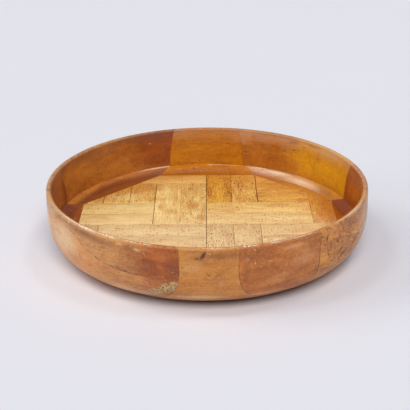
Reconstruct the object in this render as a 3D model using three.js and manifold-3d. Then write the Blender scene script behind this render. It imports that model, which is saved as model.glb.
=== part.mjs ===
// Wooden fruit bowl: a ring of glued boards and blocks, turned inside and out, round an
// octagonal floor of parquet strips laid on a base board.
// Millimetres. +Z is up, +X right, +Y to the back. The origin is on the axis, under the foot.
import * as THREE from 'three';
import { mergeVertices } from 'three/addons/utils/BufferGeometryUtils.js';
import Module from 'manifold-3d';

const wasm = await Module();
wasm.setup();

// Driving dimensions of the turned shape
const OUTER_RADIUS = 148.1;
const HEIGHT = 63.5;
const FOOT_RADIUS = 100;
const BELLY_HEIGHT = 44;
const RIM_THICKNESS = 5;
const RIM_SET_IN = 0.4;
const COVE_RADIUS = 139.7;
const COVE_HEIGHT = 24.6;
const FLOOR_RADIUS = 133;
const FLOOR_HEIGHT = 18.2;

// Handles of the curves between those points: radius and height
const FOOT_HANDLE = new THREE.Vector2(133, 3);
const BELLY_HANDLE = new THREE.Vector2(OUTER_RADIUS, 12.7);
const WALL_HANDLE = new THREE.Vector2(139.6, 44);
const LEDGE_HANDLE = new THREE.Vector2(135.5, 21.8);

// Driving dimensions of the glued-up blank
const GLUE_GAP = 0.3;
const STRIP_WIDTH = 25.4;
const STRIP_THICKNESS = 8;
const PATTERN_CENTRE = new THREE.Vector2(-0.8, 0);
const SPLIT_FROM_MIDDLE = -13.8;
const RING_BLANK_RADIUS = 112;

// The octagon's sides: which way each faces, in degrees from +X, and how far it is from the
// middle of the pattern. The long boards lie outside the slanting sides.
const SIDES = {
  right: { facing: 0, distance: 123.7 },
  back_right: { facing: 46, distance: 123.6 },
  back: { facing: 90, distance: 123.4 },
  back_left: { facing: 136, distance: 120.7 },
  left: { facing: 180, distance: 120.7 },
  front_left: { facing: 225, distance: 118.9 },
  front: { facing: 270, distance: 122.6 },
  front_right: { facing: 315, distance: 121.6 },
};

// How finely the curves are faceted
const TURNING_STEPS = 96;
const UNDERSIDE_STEPS = 16;
const RIM_STEPS = 8;
const INSIDE_STEPS = 4;

const WOODS = {
  red_brown: { color: 0x9c5a2c, roughness: 0.42 },
  orange: { color: 0xb87232, roughness: 0.42 },
  tan: { color: 0xc48a4e, roughness: 0.45 },
  amber: { color: 0xbf7f2a, roughness: 0.4 },
  pale: { color: 0xd9b066, roughness: 0.5 },
  gold: { color: 0xcf9c4a, roughness: 0.5 },
  base: { color: 0xa87642, roughness: 0.65 },
};

function addPiece(group, name, geometry, wood) {
  const material = new THREE.MeshStandardMaterial({ ...WOODS[wood], metalness: 0 });
  const piece = new THREE.Mesh(geometry, material);
  piece.name = name;
  group.add(piece);
}

// Turned and sawn solids

function toSolid(geometry) {
  const bare = geometry.clone();
  bare.deleteAttribute('normal');
  bare.deleteAttribute('uv');
  const merged = mergeVertices(bare, 1e-4);
  return new wasm.Manifold(new wasm.Mesh({
    numProp: 3,
    vertProperties: new Float32Array(merged.attributes.position.array),
    triVerts: new Uint32Array(merged.index.array),
  }));
}

function toGeometry(solid) {
  const mesh = solid.getMesh();
  const corners = new Float32Array(mesh.vertProperties);
  const geometry = new THREE.BufferGeometry();
  geometry.setAttribute('position', new THREE.BufferAttribute(corners, 3));
  geometry.setIndex(new THREE.BufferAttribute(new Uint32Array(mesh.triVerts), 1));
  return geometry;
}

// A profile of radius and height, turned about the upright axis.
function turned(profile) {
  const geometry = new THREE.LatheGeometry(profile, TURNING_STEPS);
  geometry.rotateX(Math.PI / 2);
  return toSolid(geometry);
}

function prism(outline, bottom, top) {
  const geometry = new THREE.ExtrudeGeometry(new THREE.Shape(outline), {
    depth: top - bottom,
    bevelEnabled: false,
  });
  geometry.translate(0, 0, bottom);
  return geometry;
}

// The upright block that an outline in the plan would cut out, taller than the bowl.
function sawnBlock(outline) {
  return toSolid(prism(outline, -HEIGHT, 2 * HEIGHT));
}

// Outlines in the plan, cut by straight saw lines

function direction(degrees) {
  const angle = THREE.MathUtils.degToRad(degrees);
  return new THREE.Vector2(Math.cos(angle), Math.sin(angle));
}

// Keeps the part of an outline on the near side of the line that faces `normal` and lies
// `distance` from the middle of the pattern.
function sawOff(outline, normal, distance) {
  const beyond = (point) => normal.dot(point.clone().sub(PATTERN_CENTRE)) - distance;
  const kept = [];
  outline.forEach((point, i) => {
    const next = outline[(i + 1) % outline.length];
    const here = beyond(point);
    const there = beyond(next);
    if (here <= 0) {
      kept.push(point);
    }
    if (here * there < 0) {
      kept.push(point.clone().lerp(next, here / (here - there)));
    }
  });
  return kept;
}

function keepInside(outline, side) {
  return sawOff(outline, direction(side.facing), side.distance - GLUE_GAP / 2);
}

function keepOutside(outline, side) {
  return sawOff(outline, direction(side.facing).negate(), -side.distance - GLUE_GAP / 2);
}

function rectangle(left, front, right, back) {
  const corners = [[left, front], [right, front], [right, back], [left, back]];
  return corners.map(([x, y]) => new THREE.Vector2(x, y).add(PATTERN_CENTRE));
}

function wholeBlank() {
  return rectangle(-OUTER_RADIUS - 2, -OUTER_RADIUS - 2, OUTER_RADIUS + 2, OUTER_RADIUS + 2);
}

function octagon() {
  return Object.values(SIDES).reduce(keepInside, wholeBlank());
}

// The turned outline, from the foot up the outside, over the rim and down the inside

const underCurve = new THREE.CubicBezierCurve(
  new THREE.Vector2(FOOT_RADIUS, 0),
  FOOT_HANDLE,
  BELLY_HANDLE,
  new THREE.Vector2(OUTER_RADIUS, BELLY_HEIGHT),
);

function rimAndInside() {
  const half = RIM_THICKNESS / 2;
  const centre = new THREE.Vector2(OUTER_RADIUS - RIM_SET_IN - half, HEIGHT - half);
  const rim = new THREE.EllipseCurve(centre.x, centre.y, half, half, 0, Math.PI);
  const rimInside = new THREE.Vector2(centre.x - half, centre.y);
  const coveEdge = new THREE.Vector2(COVE_RADIUS, COVE_HEIGHT);
  const floorEdge = new THREE.Vector2(FLOOR_RADIUS, FLOOR_HEIGHT);
  const wall = new THREE.QuadraticBezierCurve(rimInside, WALL_HANDLE, coveEdge);
  const ledge = new THREE.QuadraticBezierCurve(coveEdge, LEDGE_HANDLE, floorEdge);
  return [
    ...rim.getPoints(RIM_STEPS),
    ...wall.getPoints(INSIDE_STEPS).slice(1),
    ...ledge.getPoints(INSIDE_STEPS).slice(1),
  ];
}

// The ring's blank runs in past every side of the octagon, and is cut back to it by the saw.
function turnedRing() {
  const outside = underCurve.getPoints(UNDERSIDE_STEPS).filter((point) => point.x > RING_BLANK_RADIUS);
  const profile = [
    new THREE.Vector2(RING_BLANK_RADIUS, outside[0].y),
    ...outside,
    ...rimAndInside(),
    new THREE.Vector2(RING_BLANK_RADIUS, FLOOR_HEIGHT),
  ];
  return turned([...profile, profile[0]]);
}

function turnedBase(top) {
  const underside = underCurve.getPoints(UNDERSIDE_STEPS).filter((point) => point.y < top);
  return turned([
    new THREE.Vector2(0, 0),
    ...underside,
    new THREE.Vector2(underside.at(-1).x, top),
    new THREE.Vector2(0, top),
  ]);
}

// Wall: long boards outside the slanting sides, corner blocks between them

function cutFromRing(ring, outline) {
  return toGeometry(ring.intersect(sawnBlock(outline)));
}

function addLongBoards(group, ring) {
  const board = (side) => keepOutside(wholeBlank(), side);
  addPiece(group, 'wall_board_front_left', cutFromRing(ring, board(SIDES.front_left)), 'tan');
  addPiece(group, 'wall_board_back_left', cutFromRing(ring, board(SIDES.back_left)), 'orange');
  addPiece(group, 'wall_board_back_right', cutFromRing(ring, board(SIDES.back_right)), 'amber');

  // The front right board is two lengths, butted on a line square to its inner face.
  const along = direction(SIDES.front_right.facing + 90);
  const whole = board(SIDES.front_right);
  const near = sawOff(whole, along, SPLIT_FROM_MIDDLE - GLUE_GAP / 2);
  const far = sawOff(whole, along.clone().negate(), -SPLIT_FROM_MIDDLE - GLUE_GAP / 2);
  addPiece(group, 'wall_board_front_right_near', cutFromRing(ring, near), 'red_brown');
  addPiece(group, 'wall_board_front_right_far', cutFromRing(ring, far), 'tan');
}

function addCornerBlocks(group, ring) {
  const corners = [
    ['front', 'front_left', 'front_right', 'orange'],
    ['right', 'front_right', 'back_right', 'red_brown'],
    ['back', 'back_left', 'back_right', 'orange'],
    ['left', 'front_left', 'back_left', 'red_brown'],
  ];
  for (const [corner, first, second, wood] of corners) {
    let outline = keepOutside(wholeBlank(), SIDES[corner]);
    outline = keepInside(outline, SIDES[first]);
    outline = keepInside(outline, SIDES[second]);
    addPiece(group, `corner_block_${corner}`, cutFromRing(ring, outline), wood);
  }
}

// Floor: strips in pairs that turn round the middle, cut off by the octagon. A strip's place
// is its left, front, right and back edge in the back quarter turn, in strip widths.

const PAST_THE_EDGE = 6;
const STRIPS_IN_A_TURN = [
  { name: 'long_1', place: [-1, 0, 0, 4], wood: 'pale' },
  { name: 'long_2', place: [-2, 0, -1, 4], wood: 'gold' },
  { name: 'edge_1', place: [0, 2, 1, PAST_THE_EDGE], wood: 'gold' },
  { name: 'edge_2', place: [1, 2, 2, PAST_THE_EDGE], wood: 'pale' },
  { name: 'short_1', place: [-3, 2, -2, 4], wood: 'gold' },
  { name: 'short_2', place: [-4, 2, -3, 4], wood: 'pale' },
  { name: 'cross', place: [-PAST_THE_EDGE, 4, 0, PAST_THE_EDGE], wood: 'pale' },
  { name: 'tip', place: [-PAST_THE_EDGE, 2, -4, 4], wood: 'gold' },
];

function stripOutline(place, quarterTurns) {
  const [left, front, right, back] = place.map((edge) => edge * STRIP_WIDTH);
  const gap = GLUE_GAP / 2;
  const outline = rectangle(left + gap, front + gap, right - gap, back - gap);
  const angle = (-quarterTurns * Math.PI) / 2;
  return outline.map((corner) => corner.rotateAround(PATTERN_CENTRE, angle));
}

function addFloor(group) {
  ['back', 'right', 'front', 'left'].forEach((arm, quarterTurns) => {
    for (const strip of STRIPS_IN_A_TURN) {
      const whole = stripOutline(strip.place, quarterTurns);
      const cut = Object.values(SIDES).reduce(keepInside, whole);
      const geometry = prism(cut, FLOOR_HEIGHT - STRIP_THICKNESS, FLOOR_HEIGHT);
      addPiece(group, `parquet_${arm}_${strip.name}`, geometry, strip.wood);
    }
  });
}

function addBase(group) {
  const top = FLOOR_HEIGHT - STRIP_THICKNESS - GLUE_GAP;
  const solid = turnedBase(top).intersect(sawnBlock(octagon()));
  addPiece(group, 'base_board', toGeometry(solid), 'base');
}

const bowl = new THREE.Group();
const ring = turnedRing();
addLongBoards(bowl, ring);
addCornerBlocks(bowl, ring);
addFloor(bowl);
addBase(bowl);

export default bowl;
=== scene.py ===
# %% [markdown]
# # A turned fruit bowl with a parquet floor
#
# The real bowl was glued up first and turned afterwards. Flat strips of hardwood were laid on
# a base board and sawn to an octagon. Four long boards and four corner blocks were glued round
# it, and the whole blank was turned to one smooth shape. This lesson turns a ring, saws it into
# its boards and blocks, lays the floor, and only then thinks about colour and polish.

# %% Load the measured model as a fixed frame
import math
import random
from functools import partial, reduce

import bmesh
import bpy
import numpy as np
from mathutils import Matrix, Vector


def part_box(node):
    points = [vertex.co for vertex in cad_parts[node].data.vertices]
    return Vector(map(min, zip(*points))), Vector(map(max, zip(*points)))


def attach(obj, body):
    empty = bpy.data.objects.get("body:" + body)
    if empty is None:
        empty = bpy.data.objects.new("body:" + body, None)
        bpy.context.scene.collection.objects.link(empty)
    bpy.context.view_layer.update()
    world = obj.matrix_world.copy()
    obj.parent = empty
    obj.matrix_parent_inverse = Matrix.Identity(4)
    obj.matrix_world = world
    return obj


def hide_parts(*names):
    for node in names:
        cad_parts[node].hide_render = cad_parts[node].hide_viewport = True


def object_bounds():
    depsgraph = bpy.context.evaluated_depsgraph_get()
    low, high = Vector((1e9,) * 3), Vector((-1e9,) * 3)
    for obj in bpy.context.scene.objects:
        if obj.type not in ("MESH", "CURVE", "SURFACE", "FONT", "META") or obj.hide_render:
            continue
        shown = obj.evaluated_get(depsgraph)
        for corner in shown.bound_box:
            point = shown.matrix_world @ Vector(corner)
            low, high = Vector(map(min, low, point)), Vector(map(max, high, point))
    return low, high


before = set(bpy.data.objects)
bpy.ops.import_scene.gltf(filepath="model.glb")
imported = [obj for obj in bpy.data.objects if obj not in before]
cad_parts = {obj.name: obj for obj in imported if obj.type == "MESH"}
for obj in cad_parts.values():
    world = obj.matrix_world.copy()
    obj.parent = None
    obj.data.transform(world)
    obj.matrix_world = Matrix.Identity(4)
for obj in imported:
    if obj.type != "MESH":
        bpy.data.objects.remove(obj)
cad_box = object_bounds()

MM = 0.001
print("the CAD model is", [round(side / MM, 1) for side in cad_box[1] - cad_box[0]], "mm")

# %% [markdown]
# ## Measure before cutting
#
# Every size that the measured model can give is read from it, so the new pieces stand where its
# pieces stand. The model leaves a glue gap between its solids. Half of that gap, added back to
# the face of a solid, gives the true line of a joint.

# %% Radius, height and the floor
outer_radius = cad_box[1].x
rim_height = cad_box[1].z
strip_low, strip_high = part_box("parquet_back_long_1")
floor_height = strip_high.z
strip_thickness = strip_high.z - strip_low.z
glue_gap = strip_low.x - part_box("parquet_back_long_2")[1].x
strip_width = strip_high.x - strip_low.x + glue_gap
middle = Vector((strip_high.x + glue_gap / 2, strip_low.y - glue_gap / 2, 0))
base_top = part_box("base_board")[1].z
print("strip width", round(strip_width / MM, 2), "mm, pattern middle", middle / MM)

# %% The joint planes round the floor
def direction(facing):
    """A level unit vector, in degrees from +X."""
    return Vector((math.cos(math.radians(facing)), math.sin(math.radians(facing)), 0))


def reach(node, way):
    """How far a solid of the model reaches from the pattern's middle: least and most."""
    distances = [way.dot(v.co - middle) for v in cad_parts[node].data.vertices]
    return min(distances), max(distances)


SIDES = {
    "corner_block_right": 0, "wall_board_back_right": 46, "corner_block_back": 90,
    "wall_board_back_left": 136, "corner_block_left": 180, "wall_board_front_left": 225,
    "corner_block_front": 270, "wall_board_front_right_near": 315,
}
side_distance = {
    facing: reach(node, direction(facing))[0] - glue_gap / 2 for node, facing in SIDES.items()
}
SPLIT_FACING = 45
split_distance = reach("wall_board_front_right_near", direction(SPLIT_FACING))[1] + glue_gap / 2
print("sides of the octagon, mm:", {f: round(d / MM, 1) for f, d in side_distance.items()})
print("butt joint, mm from the middle:", round(split_distance / MM, 1))

# %% [markdown]
# ## A few hand tools
#
# Blender's operators act on whatever is selected, so each job starts by picking up one piece.
# `saw` is the most used tool here: it cuts straight through a piece and closes the cut.

# %% Pick up, copy, saw
def pick_up(piece):
    """Selects one piece and nothing else."""
    bpy.ops.object.select_all(action="DESELECT")
    piece.select_set(True)
    bpy.context.view_layer.objects.active = piece


def open_mesh(piece, select="SELECT"):
    """Picks up a piece and opens its mesh, with everything selected or nothing."""
    pick_up(piece)
    bpy.ops.object.mode_set(mode="EDIT")
    bpy.ops.mesh.select_all(action=select)


def close_mesh():
    """Goes back from the mesh to the whole piece."""
    bpy.ops.object.mode_set(mode="OBJECT")


def copy_of(piece, name):
    """A copy with its own mesh."""
    made = piece.copy()
    made.data = piece.data.copy()
    made.name = made.data.name = name
    bpy.context.scene.collection.objects.link(made)
    return made


SAW_TOLERANCE = 0.001 * MM
SHARP = math.radians(28)


def saw(piece, point, towards):
    """Saws through a piece and keeps the side that `towards` points to."""
    open_mesh(piece)
    bpy.ops.mesh.bisect(
        plane_co=point, plane_no=towards, use_fill=True, clear_inner=True, threshold=SAW_TOLERANCE,
    )
    close_mesh()


def clean_up():
    """Welds points that lie together, turns all faces outwards and closes the mesh."""
    bpy.ops.mesh.select_all(action="SELECT")
    bpy.ops.mesh.remove_doubles(threshold=SAW_TOLERANCE)
    bpy.ops.mesh.normals_make_consistent(inside=False)
    close_mesh()


def smooth(piece):
    """Shades a piece smooth, but for its sharp edges."""
    pick_up(piece)
    bpy.ops.object.shade_smooth_by_angle(angle=SHARP)


def weigh(piece):
    """Volume in cubic centimetres, and how many edges are open: a closed piece has none."""
    scale = bmesh.new()
    scale.from_mesh(piece.data)
    volume = scale.calc_volume() * 1e6
    open_edges = sum(not edge.is_manifold for edge in scale.edges)
    faces = len(scale.faces)
    scale.free()
    return f"{piece.name}: {volume:.1f} cm3, {faces} faces, {open_edges} open edges"

# %% [markdown]
# ## The outline of the ring
#
# A turner works to a template: the shape of the wall in section. It rises from the foot in one
# round sweep, comes over a narrow rim, drops almost straight down inside and ends in a small
# rounded step that meets the floor. The rim is half a circle, and the rest are Bezier curves
# with the handles of the measured model.

# %% Points of the outline, as radius and height
def bezier(corners, count):
    """Points on a Bezier curve, by drawing the corners together again and again."""
    points = []
    for step in range(count + 1):
        t = step / count
        line = [Vector(corner) for corner in corners]
        while len(line) > 1:
            line = [a.lerp(b, t) for a, b in zip(line, line[1:])]
        points.append(line[0] * MM)
    return points


RADIUS = outer_radius / MM
TOP = rim_height / MM
FLOOR = floor_height / MM
RIM_SET_IN = 0.4
RIM_RADIUS = 2.5
BLANK_RADIUS = 112 * MM
FOOT_RADIUS = 100
UNDERSIDE = [(FOOT_RADIUS, 0), (133, 3), (RADIUS, 12.7), (RADIUS, 44)]
rim_centre = Vector((RADIUS - RIM_SET_IN - RIM_RADIUS, TOP - RIM_RADIUS))
WALL = [(rim_centre.x - RIM_RADIUS, rim_centre.y), (139.6, 44), (139.7, 24.6)]
LEDGE = [(139.7, 24.6), (135.5, 21.8), (133, FLOOR)]
under_curve = bezier(UNDERSIDE, 44)
rim_curve = [
    (rim_centre + RIM_RADIUS * Vector((math.cos(a), math.sin(a)))) * MM
    for a in np.linspace(0, math.pi, 15)
]
outline = [p for p in under_curve if p.x > BLANK_RADIUS] + rim_curve
outline += bezier(WALL, 22)[1:] + bezier(LEDGE, 10)[1:]
outline.insert(0, Vector((BLANK_RADIUS, outline[0].y)))
outline.append(Vector((BLANK_RADIUS, floor_height)))
print(len(outline), "points on the ring's outline")

# %% [markdown]
# ## Drawing and turning
#
# The outline is drawn as with a pencil: one point is made, and then pushed on with extrude from
# place to place. Spin carries that outline round the upright axis, as a lathe does.

# %% Draw an outline and turn it
def draw(name, points, closed):
    """Draws an outline in the upright plane through +X."""
    bpy.ops.object.select_all(action="DESELECT")
    bpy.ops.mesh.primitive_plane_add(size=MM)
    drawn = bpy.context.object
    drawn.name = drawn.data.name = name
    bpy.ops.object.mode_set(mode="EDIT")
    bpy.ops.mesh.merge(type="CENTER")
    bpy.ops.transform.translate(value=(points[0].x, 0, points[0].y))
    for here, there in zip(points, points[1:]):
        step = (there.x - here.x, 0, there.y - here.y)
        bpy.ops.mesh.extrude_region_move(TRANSFORM_OT_translate={"value": step})
    if closed:
        bpy.ops.mesh.select_all(action="DESELECT")
        lines = bmesh.from_edit_mesh(drawn.data)
        for vertex in lines.verts:
            vertex.select = len(vertex.link_edges) == 1
        bmesh.update_edit_mesh(drawn.data)
        bpy.ops.mesh.edge_face_add()
    close_mesh()
    return drawn


def turn(piece, steps):
    """Spins an outline into a closed solid."""
    open_mesh(piece)
    bpy.ops.mesh.spin(steps=steps, angle=2 * math.pi, center=(0, 0, 0), axis=(0, 0, 1))
    clean_up()


RING_STEPS = 720
ring = draw("ring", outline, closed=True)
turn(ring, RING_STEPS)
print(weigh(ring))

# %% [markdown]
# ## A measuring tape round the section
#
# Wear follows the shape, so each point of the ring is given one number, `along`: its distance
# from the top of the rim, measured along the surface. It is negative outside and positive
# inside. Sawing keeps the numbers, and the finishes read them later.

# %% Write the distance from the rim on every point
lengths = [(b - a).length for a, b in zip(outline, outline[1:])]
tape = np.concatenate([[0], np.cumsum(lengths)])
rim_top = max(range(len(outline)), key=lambda i: outline[i].y)
tape -= tape[rim_top]
template = np.array(outline)
places = np.array([v.co for v in ring.data.vertices])
section = np.column_stack([np.hypot(places[:, 0], places[:, 1]), places[:, 2]])
nearest = ((section[:, None] - template[None]) ** 2).sum(2).argmin(1)
along = ring.data.attributes.new("along", "FLOAT", "POINT")
along.data.foreach_set("value", tape[nearest].astype(np.float32))


def outside_at(height):
    """The tape's reading on the outside at a height in millimetres."""
    return float(np.interp(height * MM, template[:rim_top, 1], tape[:rim_top]))


def inside_at(height):
    """The tape's reading on the inside at a height in millimetres."""
    return float(np.interp(-height * MM, -template[rim_top:-1, 1], tape[rim_top:-1]))


print("tape from", round(tape[0] / MM), "to", round(tape[-1] / MM), "mm")

# %% [markdown]
# ## Hand finish, dents and chips
#
# The bowl was sanded by hand and knocked about for years. A very shallow cloud pattern, pushed
# into the surface by a Displace modifier, makes the reflections wander. A few real dents are
# pressed in with proportional editing: one point is pushed and its neighbours follow. All this
# comes before sawing, so that both sides of every joint stay level with each other.

# %% Sand it by hand
HAND_WAVES = 0.22 * MM
WAVE_SIZE = 35 * MM
clouds = bpy.data.textures.new("hand sanding", "CLOUDS")
clouds.noise_scale = WAVE_SIZE
pick_up(ring)
sanding = ring.modifiers.new("hand sanding", "DISPLACE")
sanding.texture = clouds
sanding.texture_coords = "LOCAL"
sanding.strength = HAND_WAVES
sanding.mid_level = 1.0
bpy.ops.object.modifier_apply(modifier=sanding.name)
print("hand sanding takes off up to", HAND_WAVES / MM, "mm")

# %% Press in the dents
def around(azimuth, radius, height):
    """A point by its angle from the front, in degrees to the right, in millimetres."""
    angle = math.radians(azimuth)
    return Vector((radius * math.sin(angle), -radius * math.cos(angle), height)) * MM


def dent(piece, azimuth, radius, height, depth, size):
    """Pushes the nearest point of the surface towards the middle, and its neighbours with it."""
    open_mesh(piece, "DESELECT")
    surface = bmesh.from_edit_mesh(piece.data)
    target = around(azimuth, radius, height)
    hit = min(surface.verts, key=lambda vertex: (vertex.co - target).length)
    hit.select = True
    bmesh.update_edit_mesh(piece.data)
    inward = around(azimuth, 1, 0).normalized() * (-depth * MM)
    bpy.ops.transform.translate(
        value=inward, use_proportional_edit=True, proportional_edit_falloff="SMOOTH",
        proportional_size=size * MM,
    )
    close_mesh()


# Angle, radius and height, then depth and size, in millimetres
DENTS = [
    (-3.5, 147.9, 52, 0.35, 3.0), (-1.0, 147.5, 38, 0.30, 4.0), (-30, 144, 24, 0.35, 5.0),
    (44, 148, 55, 0.35, 2.5), (-66, 147.2, 62.4, 0.6, 3.5), (-58, 147.2, 62.2, 0.5, 4.5),
    (-47, 147.2, 62.2, 0.45, 4.0), (14, 147.2, 62.4, 0.4, 3.0), (150, 142.6, 57, -0.3, 4.0),
]
for row in DENTS:
    dent(ring, *row)
print(len(DENTS), "dents;", weigh(ring))

# %% [markdown]
# ## Saw the ring into its boards and blocks
#
# In the real bowl the joints came first and the turning second, so every joint runs flush round
# the curve. Here the turned ring is copied nine times, and each copy is sawn along the upright
# joint planes. A long board is what lies outside one slanting side of the octagon. A corner
# block lies outside a straight side and between two boards. The front right board is in two
# lengths with a butt joint. Only a hairline is left open, because the joints are glued tight.

# %% Nine pieces from one ring
HAIRLINE = 0.08 * MM
BOARDS = {
    "board_front_left": 225, "board_back_left": 136, "board_back_right": 46,
    "board_front_right_near": 315, "board_front_right_far": 315,
}
BLOCKS = {"block_right": 0, "block_back": 90, "block_left": 180, "block_front": 270}


def saw_side(piece, facing, outside=False):
    """Saws along one side of the octagon and keeps what lies inside it, or outside."""
    way = direction(facing)
    sign = 1 if outside else -1
    saw(piece, middle + way * (side_distance[facing] + sign * HAIRLINE / 2), way * sign)


wall = {}
in_turn = list(side_distance)
for name, facing in {**BOARDS, **BLOCKS}.items():
    piece = copy_of(ring, name)
    saw_side(piece, facing, outside=True)
    if name in BLOCKS:
        here = in_turn.index(facing)
        saw_side(piece, in_turn[here - 1])
        saw_side(piece, in_turn[here + 1])
    wall[name] = piece
split = direction(SPLIT_FACING)
near, far = wall["board_front_right_near"], wall["board_front_right_far"]
saw(near, middle + split * (split_distance - HAIRLINE / 2), -split)
saw(far, middle + split * (split_distance + HAIRLINE / 2), split)
bpy.data.objects.remove(ring)
for piece in wall.values():
    smooth(piece)
    print(weigh(piece))

# %% [markdown]
# ## The base board
#
# The strips have to be glued to something, and the foot that the bowl stands on is its
# underside. The board continues the sweep of the wall. It is turned from its own outline, with
# a shallow groove that marks the edge of the foot, and sawn to the octagon.

# %% Turn and saw the base board
GROOVE_RADIUS = 92
GROOVE_WIDTH = 1.6
GROOVE_DEPTH = 0.7
groove = [
    (GROOVE_RADIUS - GROOVE_WIDTH, 0), (GROOVE_RADIUS - GROOVE_WIDTH / 2, GROOVE_DEPTH),
    (GROOVE_RADIUS, 0),
]
base_outline = [Vector((0, 0))] + [Vector(point) * MM for point in groove]
base_outline += [p for p in under_curve if p.y < base_top]
base_outline.append(Vector((base_outline[-1].x, base_top)))
base_outline.append(Vector((0, base_top)))
base = draw("base", base_outline, closed=False)
turn(base, RING_STEPS // 2)
for facing in side_distance:
    saw_side(base, facing)
smooth(base)
print(weigh(base))

# %% [markdown]
# ## The parquet floor
#
# Four turns of the same eight strips run round the middle: two long ones side by side, two that
# run out to the edge, two short ones, one along the edge and a small tip. Each is a copy of one
# long strip of stock, laid in place and sawn to length and to the octagon.
#
# A floor like this lives from its joints. Some are tight and some have opened and filled with
# dark dirt. So a short table gives the width of the open ones, and any other is nearly closed.
# The sharp top edges are eased a little with a bevel.

# %% The stock and the pattern
STOCK_LENGTH = 7
PATTERN = {
    "long_1": (-1, 0, 0, 4), "long_2": (-2, 0, -1, 4), "edge_1": (0, 2, 1, 6),
    "edge_2": (1, 2, 2, 6), "short_1": (-3, 2, -2, 4), "short_2": (-4, 2, -3, 4),
    "cross": (-6, 4, 0, 5), "tip": (-5, 2, -4, 4),
}
TURNS = {"back": 0, "right": 1, "front": 2, "left": 3}

# Joints that have opened: the axis that they cross, where, from, to, and width in mm
OPEN_JOINTS = [
    ("x", 0, 0, 5, 0.55), ("x", 0, -5, 0, 0.35), ("x", -1, 0, 2, 0.14), ("x", -1, 2, 4, 0.32),
    ("x", -2, 0, 4, 0.45), ("x", -3, 2, 4, 0.35), ("x", -4, 2, 4, 0.45), ("x", -4, -1, 0, 0.45),
    ("x", 1, 2, 5, 0.2), ("x", 2, 2, 5, 0.6), ("x", 2, -2, 0, 0.6), ("x", 1, -4, 0, 0.2),
    ("x", 4, 0, 2, 0.5), ("y", 1, -5, -2, 0.4), ("y", 2, -5, -2, 0.2), ("y", 0, -5, 0, 0.22),
    ("y", 0, 0, 4, 0.2), ("y", -1, -4, 0, 0.32), ("y", -1, 2, 5, 0.24), ("y", 4, -4, 0, 0.2),
]
TIGHT_JOINT = 0.1


def quarter_turned(place, turns):
    """A place in the pattern, turned a quarter to the right a number of times."""
    left, front, right, back = place
    for _ in range(turns):
        left, front, right, back = front, -right, back, -left
    return left, front, right, back


layout = {
    f"strip_{arm}_{kind}": quarter_turned(place, turns)
    for arm, turns in TURNS.items() for kind, place in PATTERN.items()
}
bpy.ops.object.select_all(action="DESELECT")
bpy.ops.mesh.primitive_cube_add(
    size=1, location=(0, 0, floor_height - strip_thickness / 2),
    scale=(STOCK_LENGTH * strip_width, strip_width, strip_thickness),
)
bpy.ops.object.transform_apply(location=True, rotation=True, scale=True)
stock = bpy.context.object
stock.name = stock.data.name = "stock"
print(weigh(stock))

# %% Lay one strip
def joint_width(axis, at, along_from, along_to):
    """How far a joint has opened, in metres."""
    halfway = (along_from + along_to) / 2
    for crossed, line, start, end, width in OPEN_JOINTS:
        if crossed == axis and line == at and start < halfway < end:
            return width * MM
    return TIGHT_JOINT * MM


def centre_of(place):
    """The centre of a strip, and whether it runs from front to back."""
    left, front, right, back = place
    centre = middle + Vector(((left + right) / 2, (front + back) / 2, 0)) * strip_width
    return centre, back - front > right - left


def lay_strip(name, place):
    """Copies the stock, lays it in its place and saws all that sticks out."""
    left, front, right, back = place
    strip = copy_of(stock, name)
    centre, runs_back = centre_of(place)
    open_mesh(strip)
    if runs_back:
        bpy.ops.transform.rotate(value=math.pi / 2, orient_axis="Z", center_override=(0, 0, 0))
    bpy.ops.transform.translate(value=centre)
    close_mesh()
    for line, keep, joint in (
        (left, (1, 0, 0), ("x", left, front, back)),
        (right, (-1, 0, 0), ("x", right, front, back)),
        (front, (0, 1, 0), ("y", front, left, right)),
        (back, (0, -1, 0), ("y", back, left, right)),
    ):
        keep = Vector(keep)
        across = Vector((abs(keep.x), abs(keep.y), 0))
        saw(strip, middle + across * line * strip_width + keep * joint_width(*joint) / 2, keep)
    for facing in side_distance:
        saw_side(strip, facing)
    return strip


EASED_EDGE = 0.22 * MM


def ease_edges(strip):
    """Rounds over the top edges of a strip."""
    open_mesh(strip, "DESELECT")
    block = bmesh.from_edit_mesh(strip.data)
    for edge in block.edges:
        edge.select = all(v.co.z > floor_height - SAW_TOLERANCE for v in edge.verts)
    bmesh.update_edit_mesh(strip.data)
    bpy.ops.mesh.bevel(offset=EASED_EDGE, segments=2, affect="EDGES")
    clean_up()
    smooth(strip)


floor_strips = {}
for name, place in layout.items():
    floor_strips[name] = lay_strip(name, place)
    ease_edges(floor_strips[name])
bpy.data.objects.remove(stock)
print(len(floor_strips), "strips;", weigh(floor_strips["strip_back_long_1"]))

# %% [markdown]
# ## A grain of its own for every strip
#
# Neighbouring strips come from different lengths of wood, so the figure must never run on from
# one to the next. `grain` is the place on the strip: along it, across it, and a random jump.
# `tone` says how the strip differs: from pale (0) to gold (1), how open its pores are, and
# where its edge is, as half its width. Both are written on the points, for the finish to read.

# %% Write grain and tone
# In the order of the pattern: how golden, and how open the pores are
TONES = {
    "back": [
        (0.3, 0.7), (0.1, 0.35), (1.0, 1.0), (0.75, 0.9), (0.55, 0.75), (0.7, 0.9), (0.25, 0.3),
        (0.7, 0.5),
    ],
    "right": [
        (0.2, 0.35), (0.35, 0.4), (0.2, 0.4), (0.3, 0.5), (0.8, 0.6), (0.8, 0.7), (0.95, 0.9),
        (0.8, 0.5),
    ],
    "front": [
        (0.2, 0.8), (0.25, 0.7), (0.2, 0.5), (0.3, 0.5), (0.2, 0.5), (0.35, 0.5), (0.3, 0.5),
        (0.4, 0.5),
    ],
    "left": [
        (0.12, 0.45), (0.15, 0.3), (0.05, 0.1), (0.2, 0.2), (0.2, 0.5), (0.3, 0.5), (0.25, 0.5),
        (0.3, 0.5),
    ],
}
JUMP = 3.0
dice = random.Random(11)


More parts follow.
